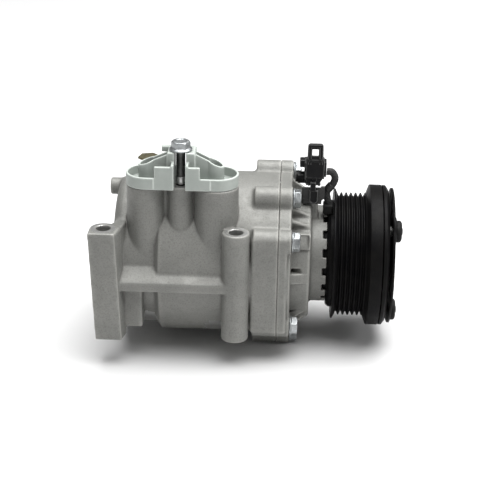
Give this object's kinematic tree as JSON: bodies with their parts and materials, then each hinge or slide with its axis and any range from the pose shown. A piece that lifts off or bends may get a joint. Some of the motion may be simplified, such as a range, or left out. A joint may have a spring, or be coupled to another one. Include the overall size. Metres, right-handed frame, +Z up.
{
  "type": "automotive ac compressor",
  "caption": "Scroll refrigerant compressor for a car, in a cast housing with mounting feet, capped hose ports, and a belt pulley with a magnetic clutch.",
  "frame": {"origin": "centre of the bounding box in X and Y, at its lowest level in Z", "axes": "+X along the shaft towards the pulley, +Z up along the mounting holes, and -Y the side with the two near feet and the hose ports"},
  "size_m": [0.2238, 0.1378, 0.165],
  "materials": {
    "casting": "die cast and shot blasted, satin",
    "alloy": "machined",
    "steel": "ground",
    "zinc": "bright zinc plate",
    "black": "satin black paint",
    "rubber": "matte",
    "black_plastic": "moulded, satin",
    "cap_plastic": "moulded, slightly translucent",
    "copper": "bare copper alloy",
    "brass": "dull olive plating",
    "seal": "matte"
  },
  "bodies": {
    "housing": {"rear_housing": "casting", "front_housing": "casting", "housing_o_ring": "seal", "joint_bolt_1": "zinc", "joint_bolt_2": "zinc", "joint_bolt_3": "zinc", "joint_bolt_4": "zinc", "joint_bolt_5": "zinc", "joint_bolt_6": "zinc", "joint_bolt_7": "zinc", "dowel_pin_1": "steel", "dowel_pin_2": "steel", "fixed_scroll": "alloy", "fixed_scroll_o_ring": "seal", "thrust_plate": "steel", "anti_rotation_pin_1": "steel", "anti_rotation_pin_2": "steel", "anti_rotation_pin_3": "steel", "reed_stop": "steel", "reed_screw": "steel", "main_bearing_outer_ring": "steel", "pulley_bearing_inner_ring": "steel", "nose_bearing": "steel", "shaft_seal": "seal", "seal_retaining_ring": "steel", "bearing_retaining_ring": "steel", "coil_shell": "black", "coil_winding": "copper", "coil_retaining_ring": "steel", "relief_valve": "brass", "connector_bracket": "steel", "bracket_screw": "zinc", "connector_body": "black_plastic", "connector_terminal_1": "copper", "connector_terminal_2": "copper", "coil_lead": "rubber"},
    "shaft": {"crankshaft": "steel", "counterweight": "steel", "main_bearing_inner_ring": "steel", "eccentric_bush": "steel", "clutch_hub": "black", "hub_shim": "steel", "hub_bolt": "zinc", "hub_damper_1": "rubber", "hub_damper_2": "rubber", "hub_damper_3": "rubber"},
    "orbiter": {"orbiting_scroll": "alloy", "drive_bearing": "steel"},
    "main_cage": {"main_bearing_cage": "brass"},
    "pulley_cage": {"pulley_bearing_cage": "brass"},
    "pulley": {"pulley": "black", "pulley_bearing_outer_ring": "steel"},
    "armature": {"armature_plate": "black", "armature_rivet_1": "steel", "armature_rivet_2": "steel", "armature_rivet_3": "steel"},
    "reed": {"discharge_reed": "steel"},
    "latch": {"connector_latch": "black_plastic"},
    "cap": {"port_cap": "cap_plastic"},
    "cap_bolt": {"cap_bolt": "zinc"}
  },
  "joints": [
    {"name": "shaft_spin", "type": "hinge", "parent": "housing", "child": "shaft", "pos_m": [0.07515, 0.0001, 0.06497], "axis": [1, 0, 0], "continuous": true},
    {"name": "scroll_orbit", "type": "hinge", "parent": "shaft", "child": "orbiter", "pos_m": [0.02515, 0.0001, 0.06927], "axis": [1, 0, 0], "continuous": true},
    {"name": "main_cage_spin", "type": "hinge", "parent": "housing", "child": "main_cage", "pos_m": [0.04515, 0.0001, 0.06497], "axis": [1, 0, 0], "continuous": true},
    {"name": "pulley_spin", "type": "hinge", "parent": "housing", "child": "pulley", "pos_m": [0.07615, 0.0001, 0.06497], "axis": [1, 0, 0], "continuous": true},
    {"name": "pulley_cage_spin", "type": "hinge", "parent": "housing", "child": "pulley_cage", "pos_m": [0.07615, 0.0001, 0.06497], "axis": [1, 0, 0], "continuous": true},
    {"name": "armature_slide", "type": "slide", "parent": "shaft", "child": "armature", "axis": [-1, 0, 0], "range_m": [0, 0.0005], "stiffness_N_per_m": 8000},
    {"name": "reed_flex", "type": "hinge", "parent": "housing", "child": "reed", "pos_m": [-0.03742, 0.0001, 0.09297], "axis": [0, 1, 0], "range_deg": [0, 3.5], "stiffness_Nm_per_rad": 0.05},
    {"name": "latch_flex", "type": "hinge", "parent": "housing", "child": "latch", "pos_m": [0.04695, -0.0171, 0.13137], "axis": [1, 0, 0], "range_deg": [0, 6], "stiffness_Nm_per_rad": 0.1},
    {"name": "cap_lift", "type": "slide", "parent": "housing", "child": "cap", "axis": [0, 0, 1], "range_m": [0, 0.05]},
    {"name": "cap_bolt_lift", "type": "slide", "parent": "cap", "child": "cap_bolt", "axis": [0, 0, 1], "range_m": [0, 0.035]}
  ],
  "couplings": [
    {"joint": "scroll_orbit", "follows": "shaft_spin", "ratio": -1},
    {"joint": "main_cage_spin", "follows": "shaft_spin", "ratio": 0.4073},
    {"joint": "pulley_cage_spin", "follows": "pulley_spin", "ratio": 0.5497}
  ]
}
